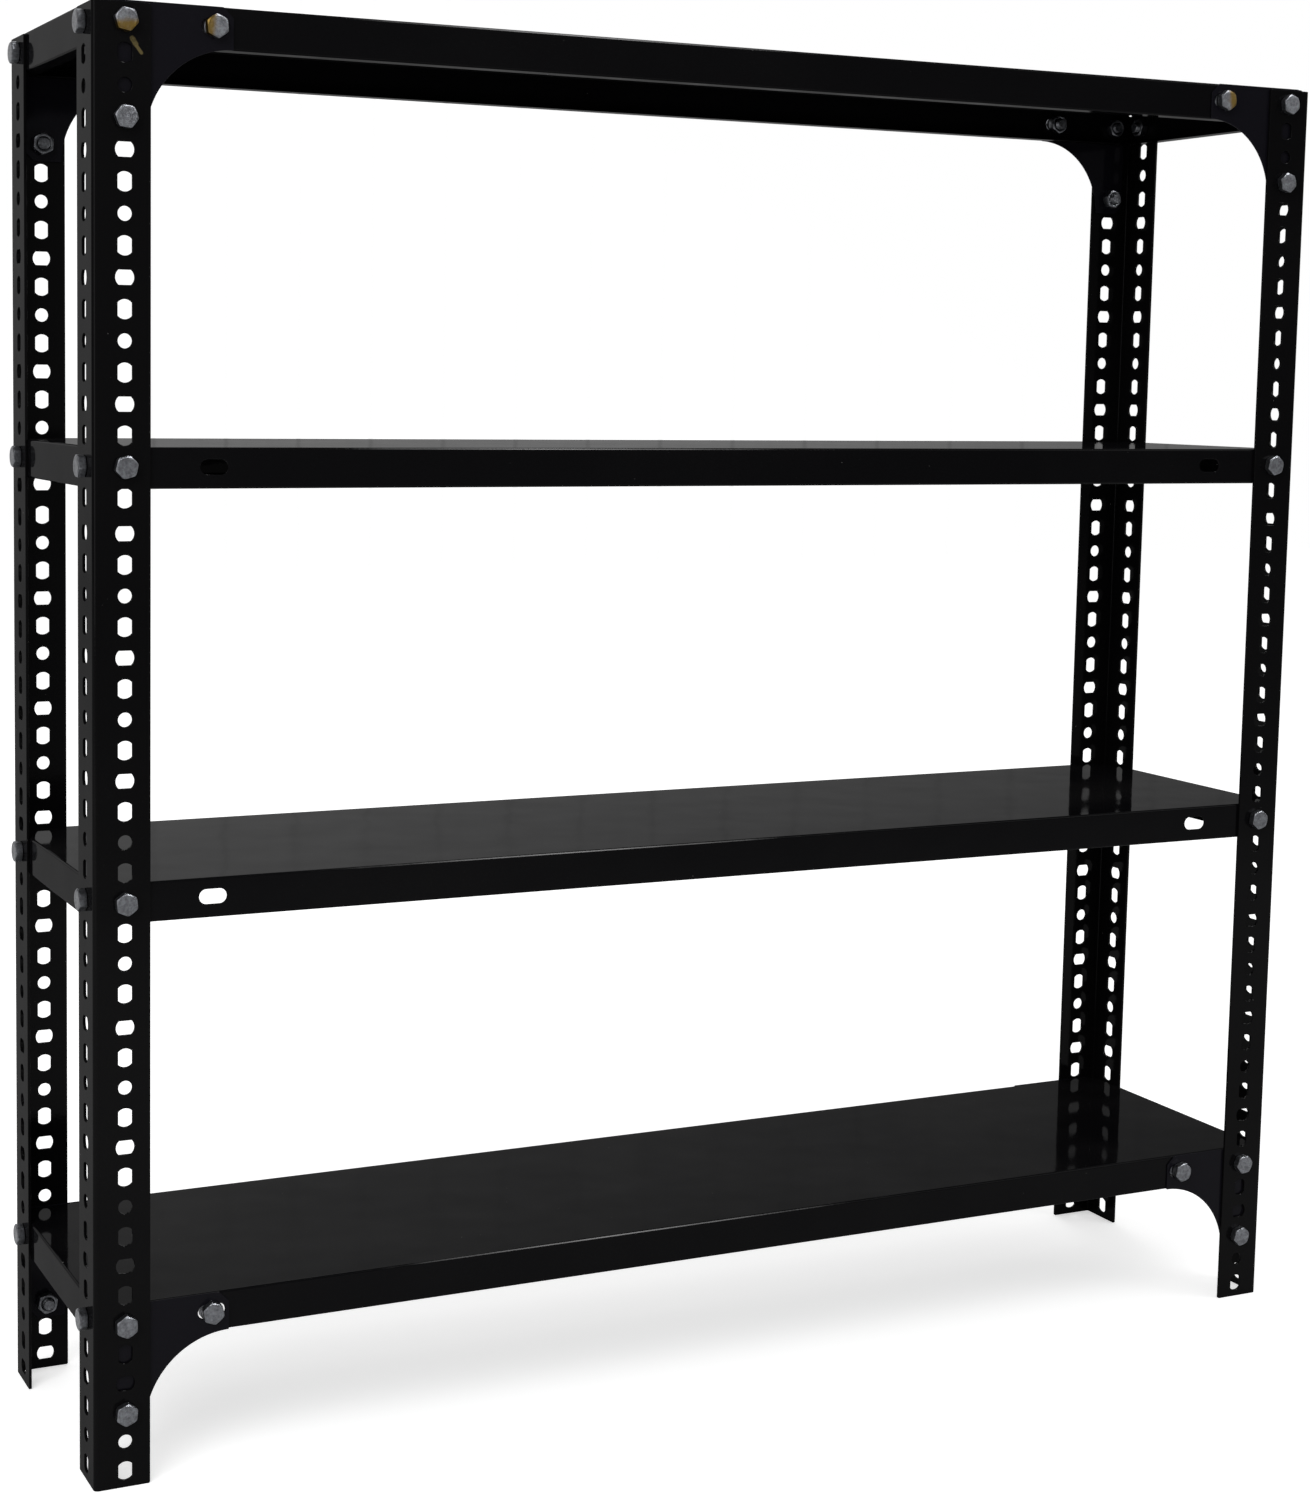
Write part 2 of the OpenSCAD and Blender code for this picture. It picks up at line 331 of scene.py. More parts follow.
def powder_coat(name, tone, colours, gloss_share, orange_peel=0.6, scar=None):
    """Glossy black powder coat: an orange-peel skin, fine dust, hairline rubs and a few chips."""
    material, f = blank_material(name)
    material.diffuse_color = rgba(tone)

    peel = f.noise(PEEL_GRAIN, 2.0, 0.45)
    waves = f.noise(WAVE_GRAIN, 1.0, 0.4)
    cloud = f.noise(DUST_GRAIN, 4.0, 0.55)
    lengthwise, crosswise = (
        f.noise(1.0, 3.0, 0.6, f.place(grain, (0.0, 0.0, turn))).above(edge, 0.05)
        for grain, turn, edge in RUBS
    )
    rubs = lengthwise + crosswise
    grit = f.noise(GRIT_GRAIN, 1.0, 0.5).above(0.71, 0.03) * cloud.above(0.42, 0.2)
    chips = f.noise(CHIP_GRAIN, 2.0, 0.6).above(0.79, 0.01)

    dusty = (cloud.above(0.45, 0.35) * 0.10 + grit * 0.5) * (0.25 + 0.75 * f.upward())
    dull_colour = f.mix(dusty.limited(), rgba(tone), rgba(colours.dust))
    dull_colour = f.mix(chips, dull_colour, rgba(colours.bare_steel))
    if scar:
        mask, primer = scar(f)
        dull_colour = f.mix(mask, dull_colour, rgba(primer))
        chips = (chips + mask).limited()

    skin = f.bump(waves, WAVE_DEPTH, 0.35)
    skin = f.bump(peel, PEEL_DEPTH, orange_peel, skin)
    skin = f.bump(chips, CHIP_DEPTH, -1.0, skin)
    roughness = 0.01 + 0.07 * orange_peel + 0.05 * cloud + 0.10 * rubs.limited() + 0.25 * dusty
    dull = f.node(
        "ShaderNodeBsdfPrincipled",
        None,
        {"Base Color": dull_colour, "Roughness": 0.65, "Specular IOR Level": 0.0, "Normal": skin},
    )
    gloss = f.node(
        "ShaderNodeBsdfPrincipled",
        None,
        {"Base Color": BLACK, "Roughness": roughness.limited(), "IOR": COAT_IOR, "Normal": skin},
    )
    share = (gloss_share * (0.92 + 0.16 * waves) * (1 - 0.8 * chips)).limited()
    coat = f.node("ShaderNodeMixShader", None, {0: share, 1: dull, 2: gloss})
    f.end("ShaderNodeOutputMaterial", coat)


# Grain of the zinc plate, in repeats a metre, and depth in metres
PATCH_GRAIN, FINE_PATCH_GRAIN, PATCH_DEPTH = 260.0, 640.0, 0.0003
RUBBED_GRAIN, RUBBED_DEPTH = (900.0, 2400.0, 900.0), 0.00002
SPECKLE_GRAIN = 2600.0


def zinc_plate(name, colours):
    """Zinc plate: bright where it is rubbed, dull in patches, with a yellow film on a few heads."""
    material, f = blank_material(name)
    material.diffuse_color = rgba(colours.zinc)

    patches = f.noise(PATCH_GRAIN, 3.0, 0.6) * 0.45 + f.noise(FINE_PATCH_GRAIN, 2.0, 0.55) * 0.55
    grain = f.noise(1.0, 2.0, 0.5, f.place(RUBBED_GRAIN, (0.4, 0.3, 0.8)))
    speckle = f.noise(SPECKLE_GRAIN, 1.0, 0.5)
    dull = patches.above(0.38, 0.24) * 0.85 + speckle.above(0.5, 0.3) * 0.15
    base = f.mix(dull.limited(), rgba(colours.zinc), rgba(colours.dull_zinc))
    film = f.node("ShaderNodeAttribute", {"attribute_name": "yellow_film"}, None, "Fac")
    film = (film * (0.7 + 0.6 * patches)).limited()
    base = f.mix(film, base, rgba(colours.passivation))

    roughness = 0.26 + 0.22 * patches + 0.08 * grain
    skin = f.bump(grain, RUBBED_DEPTH, 0.5, f.bump(patches, PATCH_DEPTH, 0.6))
    shader = f.node(
        "ShaderNodeBsdfPrincipled",
        None,
        {"Base Color": base, "Metallic": 1.0, "Roughness": roughness.limited(), "Normal": skin},
    )
    f.end("ShaderNodeOutputMaterial", shader)


def finish_named(context, name):
    """One of the rack's materials. The first call makes them all."""
    if name not in bpy.data.materials:
        colours = context.scene.rack_colours
        powder_coat("coat_of_posts", colours.post_coat, colours, 0.155, scar=post_scar)
        powder_coat("coat_of_trays", colours.tray_coat, colours, 0.155, orange_peel=0.25)
        powder_coat("coat_of_gussets", colours.gusset_coat, colours, 0.165)
        zinc_plate("zinc_of_bolts", colours)
        zinc_plate("zinc_of_nuts", colours)
    return bpy.data.materials[name]


# ---- Cut and folded sheet ----


def left_of(direction):
    """A plane direction turned a quarter to the left."""
    return Vector((-direction.y, direction.x))


def spoke(angle, length):
    """A plane vector of a length, at an angle in radians."""
    return Vector((math.cos(angle), math.sin(angle))) * length


def turned(vector, angle):
    """A plane vector turned by an angle in radians."""
    c, s = math.cos(angle), math.sin(angle)
    return Vector((c * vector.x - s * vector.y, s * vector.x + c * vector.y))


# An outline goes straight on at a turn whose half has a smaller tangent, and an arc takes at most
# this share of each side
STRAIGHT_ON = 0.02
CORNER_SHARE = 0.45


def rounded(corners, radii, steps=4):
    """An outline with an arc in each corner. radii is one radius, or one for each corner."""
    corners = [Vector(c) for c in corners]
    radii = [radii] * len(corners) if isinstance(radii, float) else radii
    outline = []
    for i, corner in enumerate(corners):
        before, after = corners[i - 1], corners[(i + 1) % len(corners)]
        come, go = (corner - before).normalized(), (after - corner).normalized()
        turn = math.atan2(come.x * go.y - come.y * go.x, come.dot(go))
        half = math.tan(abs(turn) / 2)
        if radii[i] == 0 or half < STRAIGHT_ON:
            outline.append(corner)
            continue
        room = CORNER_SHARE * min((corner - before).length, (after - corner).length)
        reach = min(radii[i] * half, room)
        start = corner - come * reach
        centre = start + left_of(come) * math.copysign(reach / half, turn)
        outline += [centre + turned(start - centre, turn * k / steps) for k in range(steps + 1)]
    return outline


def hole(centre, width, run=0.0, steps=12):
    """A round hole, or a slot whose straight part is `run` long, clockwise."""
    outline = []
    for end in (1, -1):
        for k in range(steps + (1 if run else 0)):
            angle = math.pi * (0.5 - k / steps) + (0.0 if end > 0 else math.pi)
            point = Vector((end * run / 2, 0.0)) + spoke(angle, width) / 2
            outline.append(Vector(centre) + point)
    return outline


def flatted_hole(centre, width, length, upright, steps=8):
    """A round hole of diameter `length` with two flats `width` apart, clockwise."""
    half = math.asin(width / length)
    outline = []
    for start in (0.0, math.pi):
        for k in range(steps + 1):
            angle = start + half * (1 - 2 * k / steps) + (math.pi / 2 if upright else 0.0)
            outline.append(Vector(centre) + spoke(angle, length) / 2)
    return outline


def inward_normals(loop):
    """Mitred normals into the material, which lies to the left of the loop."""
    normals = []
    for i, point in enumerate(loop):
        come = (point - loop[i - 1]).normalized()
        go = (loop[(i + 1) % len(loop)] - point).normalized()
        middle = (left_of(come) + left_of(go)).normalized()
        normals.append(middle / max(middle.dot(left_of(go)), 0.3))
    return normals


def flat_blank(outline, holes, thickness, edge, steps=2):
    """A flat sheet in u, v and depth, with rounded cut edges, and its normals in a layer."""
    bm = bmesh.new()
    layer = bm.verts.layers.float_vector.new("sheet_normal")
    profile = []
    for k in range(steps + 1):
        s, c = math.sin(math.pi / 2 * k / steps), math.cos(math.pi / 2 * k / steps)
        profile.append((edge * (1 - s), edge * (1 - c), s, -c))
    profile += [(inset, thickness - depth, s, -c) for inset, depth, s, c in reversed(profile)]
    rims = []
    for loop in (outline, *holes):
        normals = inward_normals(loop)
        rows = []
        for inset, depth, out, along in profile:
            row = []
            for point, normal in zip(loop, normals):
                at = point + normal * inset
                vertex = bm.verts.new((at.x, at.y, depth))
                vertex[layer] = Vector((*(-normal.normalized() * out), along))
                row.append(vertex)
            rows.append(row)
        for upper, lower in zip(rows, rows[1:]):
            for i in range(len(loop)):
                bm.faces.new((upper[i - 1], upper[i], lower[i], lower[i - 1]))
        rims.append(rows)
    for side in (0, -1):
        corners = [vertex for rows in rims for vertex in rows[side]]
        loops = [[vertex.co.copy() for vertex in rows[side]] for rows in rims]
        for triangle in tessellate_polygon(loops):
            bm.faces.new([corners[i] for i in triangle])
    return bm, layer


def crease(bm, axis, at):
    """Cuts the flat sheet along a line, so that it can fold there."""
    normal = Vector()
    normal[axis] = 1.0
    everything = bm.verts[:] + bm.edges[:] + bm.faces[:]
    bmesh.ops.bisect_plane(bm, geom=everything, dist=1e-7, plane_co=normal * at, plane_no=normal)


def fold(bm, layer, shape):
    """Moves each point of the flat sheet to shape(u, v, depth), a point with its three axes."""
    for vertex in bm.verts:
        flat = vertex[layer].copy()
        at, *axes = shape(*vertex.co)
        vertex.co = at
        normal = sum((axis * part for axis, part in zip(axes, flat)), Vector())
        vertex[layer] = normal.normalized()


def face_outwards(bm):
    """Turns the faces of a closed mesh outwards."""
    bmesh.ops.recalc_face_normals(bm, faces=bm.faces[:])
    if bm.calc_volume(signed=True) < 0:
        bmesh.ops.reverse_faces(bm, faces=bm.faces[:])


def hand_over(context, bm, name, finish, nodes, normals=None):
    """Makes the mesh a piece of the rack that stands for its CAD nodes."""
    face_outwards(bm)
    layer = bm.verts.layers.float_vector.get("sheet_normal")
    if layer:
        normals = [tuple(vertex[layer]) for vertex in bm.verts]
        bm.verts.layers.float_vector.remove(layer)
    mesh = bpy.data.meshes.new(name)
    bm.to_mesh(mesh)
    bm.free()
    mesh.polygons.foreach_set("use_smooth", [True] * len(mesh.polygons))
    if normals:
        mesh.normals_split_custom_set_from_vertices(normals)
    mesh.materials.append(finish_named(context, finish))
    piece = bpy.data.objects.new(name, mesh)
    context.scene.collection.objects.link(piece)
    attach(piece, "root")
    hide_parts(*nodes)


def corner_signs(corner):
    """Signs of x and y at a corner."""
    return (-1 if corner.endswith("left") else 1), (-1 if corner.startswith("front") else 1)


# ---- Posts ----


def hole_depth(number):
    """Distance of a hole from its post's top. The press punches sixteen holes in one stroke."""
    stroke_end = (STROKE_LENGTH - (STROKE_HOLES - 1) * HOLE_PITCH) / 2
    stroke, in_stroke = divmod(number, STROKE_HOLES)
    return STROKE_LENGTH * stroke + stroke_end + HOLE_PITCH * in_stroke


def post_section(u, depth, radius):
    """Point and axes across an angle: u runs along its outside, from one flange to the other."""
    half = radius * math.pi / 4
    if u >= half:
        return (radius + u - half, depth), (1.0, 0.0), (0.0, 1.0)
    if u <= -half:
        return (depth, radius - u - half), (0.0, -1.0), (1.0, 0.0)
    angle = -0.75 * math.pi + u / half * math.pi / 4
    c, s = math.cos(angle), math.sin(angle)
    return (radius + (radius - depth) * c, radius + (radius - depth) * s), (-s, c), (-c, -s)


def slotted_angle(sizes, corner):
    """One post: a strip with two rows of holes, bent along its middle.

    The holes come in fours from the top: a level slot, an upright one, a round hole, and an
    upright slot again.
    """
    radius = sizes.bend_radius
    half_bend = radius * math.pi / 4
    reach = half_bend + FLANGE_WIDTH - radius
    line = half_bend + sizes.hole_line - radius
    ends = [(-reach, 0.0), (reach, 0.0), (reach, POST_LENGTH), (-reach, POST_LENGTH)]
    strip = rounded(ends, POST_CORNER)
    holes = []
    for number in range(round(POST_LENGTH / STROKE_LENGTH) * STROKE_HOLES):
        for side in (-1, 1):
            centre = (side * line, POST_LENGTH - hole_depth(number))
            if number % 4 == 2:
                holes.append(hole(centre, sizes.hole_width))
            else:
                upright = number % 4 != 0
                holes.append(flatted_hole(centre, sizes.hole_width, sizes.slot_length, upright))
    bm, layer = flat_blank(strip, holes, POST_SHEET, sizes.cut_edge)
    for k in range(BEND_STEPS + 1):
        crease(bm, 0, half_bend * (2 * k / BEND_STEPS - 1))
    x_sign, y_sign = corner_signs(corner)
    z_sign = -1 if corner in UPSIDE_DOWN else 1

    def shape(u, v, depth):
        at, along, inwards = post_section(u, depth, radius)
        z = POST_LENGTH - v if z_sign < 0 else v
        return (
            Vector((x_sign * (RACK_X - at[0]), y_sign * (RACK_Y - at[1]), z)),
            Vector((-x_sign * along[0], -y_sign * along[1], 0.0)),
            Vector((0.0, 0.0, z_sign)),
            Vector((-x_sign * inwards[0], -y_sign * inwards[1], 0.0)),
        )

    fold(bm, layer, shape)
    return bm


# ---- Trays ----


def tray_section(reach, depth, radius, skirt):
    """Point and axes past a tray's edge: over the fold, down the skirt, and in along the lip."""
    bend = radius * math.pi / 2
    flat = skirt - 2 * radius
    if reach <= 0:
        return (reach, depth), (1.0, 0.0), (0.0, 1.0)
    if reach < bend:
        s, c = math.sin(reach / radius), math.cos(reach / radius)
        return ((radius - depth) * s, radius - (radius - depth) * c), (c, s), (-s, c)
    if reach <= bend + flat:
        return (radius - depth, radius + reach - bend), (0.0, 1.0), (-1.0, 0.0)
    if reach < 2 * bend + flat:
        s, c = math.sin((reach - bend - flat) / radius), math.cos((reach - bend - flat) / radius)
        return ((radius - depth) * c, radius + flat + (radius - depth) * s), (-s, c), (-c, -s)
    return (2 * bend + flat - reach, skirt - depth), (-1.0, 0.0), (0.0, -1.0)


def folded_tray(sizes, level):
    """One shelf: a sheet with four skirts and four lips, cut and folded down all round."""
    gussets = 2 * GUSSET_SHEET if level in GUSSET_LEVELS else 0.0
    width, depth = TRAY_WIDTH, TRAY_DEPTH - gussets
    radius, skirt = sizes.fold_radius, SKIRT_HEIGHT
    half_x, half_y = width / 2 - radius, depth / 2 - radius
    bend = radius * math.pi / 2
    down = bend + skirt - 2 * radius
    end = down + bend + sizes.lip_width - radius
    start = max(sizes.bend_radius - POST_SHEET, sizes.fold_radius) + FOLD_CLEAR
    skirt_x, skirt_y = width / 2 - start, depth / 2 - start
    lip_x = width / 2 - sizes.lip_width - LIP_GAP
    quarter = [
        ((half_x + end, skirt_y), LIP_CORNER),
        ((half_x, skirt_y), RELIEF_CORNER),
        ((half_x, half_y), RELIEF_FOOT),
        ((skirt_x, half_y), RELIEF_CORNER),
        ((skirt_x, half_y + down), SKIRT_CORNER),
        ((lip_x, half_y + down), SKIRT_CORNER),
        ((lip_x, half_y + end), LIP_CORNER),
    ]
    corners = []
    for x, y in ((1, 1), (-1, 1), (-1, -1), (1, -1)):
        run = quarter if x * y > 0 else quarter[::-1]
        corners += [((x * u, y * v), r) for (u, v), r in run]
    row = bend + sizes.row_drop - radius
    hole_x, hole_y = RACK_X - sizes.hole_line, RACK_Y - sizes.hole_line
    link_run = sizes.link_slot_length - sizes.link_slot_width
    holes = []
    for x in (-1, 1):
        for y in (-1, 1):
            holes.append(hole((x * (half_x + row), y * hole_y), sizes.hole_width))
            holes.append(hole((x * hole_x, y * (half_y + row)), sizes.hole_width))
            link = (x * (hole_x - GUSSET_STEP * HOLE_PITCH), y * (half_y + row))
            holes.append(hole(link, sizes.link_slot_width, link_run))
    outline = rounded([point for point, _ in corners], [r for _, r in corners])
    bm, layer = flat_blank(outline, holes, sizes.tray_sheet, sizes.cut_edge * THIN_SHEET_EDGE)
    for axis, edge in ((0, half_x), (1, half_y)):
        for k in range(FOLD_STEPS + 1):
            for at in (edge + bend * k / FOLD_STEPS, edge + down + bend * k / FOLD_STEPS):
                crease(bm, axis, at)
                crease(bm, axis, -at)
    top = SHELF_TOPS[level]

    def shape(u, v, thick):
        past_x, past_y = abs(u) - half_x, abs(v) - half_y
        if past_x <= 0 and past_y <= 0:
            flat = Vector((1, 0, 0)), Vector((0, 1, 0)), Vector((0, 0, -1))
            return Vector((u, v, top - thick)), *flat
        axis, side, edge, past = 1, v, half_y, past_y
        if past_x > past_y:
            axis, side, edge, past = 0, u, half_x, past_x
        at, along, inwards = tray_section(past, thick, radius, skirt)
        sign = math.copysign(1.0, side)
        place = Vector((u, v, top - at[1]))
        place[axis] = sign * (edge + at[0])
        outwards = Vector((0.0, 0.0, -along[1]))
        outwards[axis] = sign * along[0] * sign
        outwards.z *= sign
        through = Vector((0.0, 0.0, -inwards[1]))
        through[axis] = sign * inwards[0]
        across = Vector()
        across[1 - axis] = 1.0
        first, second = (outwards, across) if axis == 0 else (across, outwards)
        return place, first, second, through

    fold(bm, layer, shape)
    return bm


# ---- Gussets ----


def corner_gusset(sizes, level, corner):
    """One gusset: a plate with two legs and a hollow arc between them."""
    drop = sizes.row_drop
    reach = GUSSET_STEP * HOLE_PITCH
    far = reach + sizes.gusset_end
    cut = sizes.gusset_chamfer
    inner = sizes.gusset_leg - drop
    arc = far - inner
    quarter = [math.pi / 2 * k / ARC_STEPS for k in range(ARC_STEPS + 1)]
    hollow = [Vector((far - arc * math.cos(a), far - arc * math.sin(a))) for a in quarter]
    corners = [(-drop, -drop), (far - cut, -drop), (far, cut - drop), *reversed(hollow)]
    corners += [(cut - drop, far), (-drop, far - cut)]
    radii = [GUSSET_CORNER, GUSSET_CHAMFER_ROUND, GUSSET_CHAMFER_ROUND, GUSSET_ARC_END]
    radii += [0.0] * (ARC_STEPS - 1) + [GUSSET_ARC_END, GUSSET_CHAMFER_ROUND, GUSSET_CHAMFER_ROUND]
    holes = [
        hole((0.0, 0.0), sizes.hole_width),
        hole((0.0, reach), sizes.hole_width),
        hole((reach, 0.0), sizes.link_slot_width, sizes.link_slot_length - sizes.link_slot_width),
    ]
    bm, layer = flat_blank(rounded(corners, radii), holes, GUSSET_SHEET, sizes.cut_edge)
    x_sign, y_sign = corner_signs(corner)
    hole_x, face_y = RACK_X - sizes.hole_line, RACK_Y - POST_SHEET
    row = SHELF_TOPS[level] - drop

    def shape(u, v, depth):
        return (
            Vector((x_sign * (hole_x - u), y_sign * (face_y - depth), row - v)),
            Vector((-x_sign, 0, 0)),
            Vector((0, 0, -1)),
            Vector((0, -y_sign, 0)),
        )

    fold(bm, layer, shape)
    return bm


# ---- Bolts and nuts ----

# Angles of the points round a fastener: eight on each side of its hexagon, close together at
# the corner
SIDE_ANGLES = (-29.0, -26.5, -18.0, -9.0, 0.0, 9.0, 18.0, 26.5)
HEX_ANGLES = [math.radians(60 * side + a) for side in range(6) for a in SIDE_ANGLES]
ROUND = len(HEX_ANGLES)
# Chamfer of a hexagon's face, and how far its corners are taken off, in edge roundings
FACE_CHAMFER = math.radians(30)
CORNER_TRIM = 1.5
# Points of a bolt that are closer than this, in metres, are one
SAME_POINT = 0.00002
# Share of the across flats that the washer face takes, and where on the shank the thread starts
WASHER_FACE = 0.95
PLAIN_SHANK, THREAD_START = 0.6, 0.62
# The thread's form along one pitch: share of the pitch, and 1 for the crest or 0 for the root
THREAD_FORM = ((0.0, 1), (0.16, 1), (0.50, 0), (0.66, 0))


def hex_radius(angle, flats, trim):
    """Distance from the middle to a hexagon's side, with its corners taken off."""
    turn = (angle + math.pi / 6) % (math.pi / 3) - math.pi / 6
    return min(flats / 2 / math.cos(turn), flats / math.sqrt(3) - trim)


def lathe(rows, closed_start=True, closed_end=True):
    """A closed skin from rows of (z, radius), each a number or a list with one for each angle."""
    bm = bmesh.new()
    rings = []
    for heights, radii in rows:
        ring = []
        for i, angle in enumerate(HEX_ANGLES):
            z = heights[i] if isinstance(heights, list) else heights
            r = radii[i] if isinstance(radii, list) else radii
            ring.append(bm.verts.new((r * math.cos(angle), r * math.sin(angle), z)))
        rings.append(ring)
    for first, second in zip(rings, rings[1:]):
        for i in range(ROUND):
            bm.faces.new((first[i - 1], first[i], second[i], second[i - 1]))
    if closed_start:
        bm.faces.new(rings[0])
    if closed_end:
        bm.faces.new(rings[-1])
    if not (closed_start or closed_end):
        for i in range(ROUND):
            bm.faces.new((rings[-1][i - 1], rings[-1][i], rings[0][i], rings[0][i - 1]))
    return bm


def chamfered_side(sizes, top, sign):
    """Rows from a hexagon's face to its side: a circle, a cone, and the side's scallops."""
    flats, edge = sizes.across_flats, sizes.edge
    face = flats / 2 - edge * 2
    slope = math.tan(FACE_CHAMFER)
    side = [hex_radius(a, flats, edge * CORNER_TRIM) for a in HEX_ANGLES]
    drops = [(r - face) * slope for r in side]
    return [
        (top, face - edge),
        (top - sign * edge * 0.25, face),
        ([top - sign * (d - edge * 0.3) for d in drops], [r - edge * 0.6 for r in side]),
        ([top - sign * (d + edge * 0.4) for d in drops], side),
    ]


def thread_rows(sizes, start, end):
    """Rows of a helical thread that runs down from start to end, with a chamfer at its end."""
    crest = sizes.thread / 2
    root = crest - THREAD_DEPTH
    tip = crest - sizes.chamfer
    rows = []
    turns = math.ceil((start - end) / THREAD_PITCH) + 1
    for turn in range(-1, turns):
        for phase, at_crest in THREAD_FORM:
            radius = crest if at_crest else root
            heights, radii = [], []
            for i in range(ROUND):
                z = start - THREAD_PITCH * (turn + phase + i / ROUND)
                r = crest if z > start else radius
                z = min(max(z, end), start)
                heights.append(z)
                radii.append(min(r, tip + z - end))
            rows.append((heights, radii))
    return rows


def hex_bolt(sizes):
    """A bolt along -Z, with the underside of its head on Z = 0."""
    crest = sizes.thread / 2
    side = [hex_radius(a, sizes.across_flats, sizes.edge * CORNER_TRIM) for a in HEX_ANGLES]
    washer = sizes.across_flats / 2 * WASHER_FACE
    rise = sizes.edge * 1.5
    rows = [(sizes.head_height - sizes.edge * 0.6, crest * 0.55), (sizes.head_height, crest * 0.8)]
    rows += chamfered_side(sizes, sizes.head_height, 1)
    rows += [(rise * 1.6, side), (rise, [r - sizes.edge for r in side])]
    rows += [(rise, washer + sizes.edge / 2), (rise * 0.8, washer)]
    rows += [(rise * 0.2, washer), (0.0, washer - sizes.edge / 2), (0.0, crest)]
    rows += [(-sizes.shank * PLAIN_SHANK, crest)]
    rows += thread_rows(sizes, -sizes.shank * THREAD_START, -sizes.shank)
    rows += [(-sizes.shank, crest - sizes.chamfer)]
    bm = lathe(rows)
    bmesh.ops.remove_doubles(bm, verts=bm.verts[:], dist=SAME_POINT)
    return bm


def hex_nut(sizes):
    """A nut from Z = 0 down, with a chamfer at each face and a countersunk bore."""
    bore = sizes.thread / 2 + sizes.bore_gap
    mouth = bore + sizes.chamfer
    low = -sizes.nut_height
    rows = [(-sizes.chamfer, bore), (0.0, mouth)]
    rows += chamfered_side(sizes, 0.0, 1)
    rows += chamfered_side(sizes, low, -1)[::-1]
    rows += [(low, mouth), (low + sizes.chamfer, bore)]
    return lathe(rows, closed_start=False, closed_end=False)


def area_normals(bm):
    """Smooth normals weighed by area, so that large faces look flat beside small ones."""
    face_outwards(bm)
    normals = []
    for vertex in bm.verts:
        total = Vector()
        for face in vertex.link_faces:
            total += face.normal * face.calc_area()
        normals.append(total.normalized())
    return normals


# How the spanner left the heads at the front, in degrees: by level, then left and right, for the
# bolt through the shelf and then the two at the far holes of a gusset
FRONT_TURNS = (
    ((18, 22, 6), (10, 14, 6)),
    ((46,), (50,)),
    ((6,), (50,)),
    ((2, 54, 10), (38, 46, 46)),
)
# The same for the heads on the left side: by level, then front and rear
SIDE_TURNS = ((24, 12), (52, 36), (36, 56), (32, 52))
# The others turn by this many degrees for each level, corner and number on from the first
TURN_STEPS = (23, 41, 17)


def spanner_turns(level, corner):
    """Turns of a corner's four bolts and four nuts, in radians."""
    by_level, by_corner, by_number = TURN_STEPS
    first = level * by_level + corner * by_corner
    turns = [(first + number * by_number) % 60 for number in range(8)]
    rear, right = divmod(corner, 2)
    if not rear:
        for number, degrees in zip((0, 4, 5), FRONT_TURNS[level][right]):
            turns[number] = degrees
    if not right:
        turns[1] = SIDE_TURNS[level][rear]
    return [math.radians(degrees) for degrees in turns]


def on_front(corner, x, inset, z, turn):
    """From a fastener's own axes to a place on the front or rear, with +Z outwards."""
    x_sign, y_sign = corner_signs(CORNERS[corner])
    place = Matrix.Translation((x_sign * x, y_sign * (RACK_Y - inset), z))
    return place @ Matrix.Rotation(-math.pi / 2 * y_sign, 4, "X") @ Matrix.Rotation(turn, 4, "Z")


def on_side(corner, y, inset, z, turn):
    """The same on the left or right side."""
    x_sign, y_sign = corner_signs(CORNERS[corner])
    place = Matrix.Translation((x_sign * (RACK_X - inset), y_sign * y, z))
    return place @ Matrix.Rotation(math.pi / 2 * x_sign, 4, "Y") @ Matrix.Rotation(turn, 4, "Z")


def fastener_places(sizes, level):
    """Where one level's fasteners go: those through the shelf, and those at the far holes."""
    between = GUSSET_SHEET if level in GUSSET_LEVELS else 0.0
    hole_x, hole_y = RACK_X - sizes.hole_line, RACK_Y - sizes.hole_line
    reach = GUSSET_STEP * HOLE_PITCH
    row = SHELF_TOPS[level] - sizes.row_drop
    behind_skirt = POST_SHEET + sizes.tray_sheet
    behind_gusset = POST_SHEET + GUSSET_SHEET
    bolts, nuts, far_bolts, far_nuts = [], [], [], []
    for c in range(len(CORNERS)):
        turns = spanner_turns(level, c)
        bolts.append(on_front(c, hole_x, 0.0, row, turns[0]))
        bolts.append(on_side(c, hole_y, 0.0, row, turns[1]))
        nuts.append(on_front(c, hole_x, POST_SHEET + between + sizes.tray_sheet, row, turns[2]))
        nuts.append(on_side(c, hole_y, behind_skirt, row, turns[3]))
        far_bolts.append(on_front(c, hole_x, 0.0, row - reach, turns[4]))
        far_bolts.append(on_front(c, hole_x - reach, POST_SHEET, row, turns[5]))
        far_nuts.append(on_front(c, hole_x, behind_gusset, row - reach, turns[6]))
        inset = behind_gusset + sizes.tray_sheet
        far_nuts.append(on_front(c, hole_x - reach, inset, row, turns[7]))
    return {"bolts": (bolts, far_bolts), "nuts": (nuts, far_nuts)}


# Heads with a yellow film, by node and number: the direction in which it deepens, and how far
# from the head's middle it starts
YELLOW_HEADS = {
    "bolts_shelf_top": {0: (Vector((0.1, 0.0, -1.0)), -0.0006)},
    "bolts_gussets_top": {
        1: (Vector((-1.0, 0.0, 0.1)), 0.0007),
        3: (Vector((1.0, 0.0, 0.1)), -0.0006),
    },
}
# Distance over which it reaches its full depth, and the trace that all fasteners have
FILM_BLEND = 0.0028
FILM_TRACE = 0.06


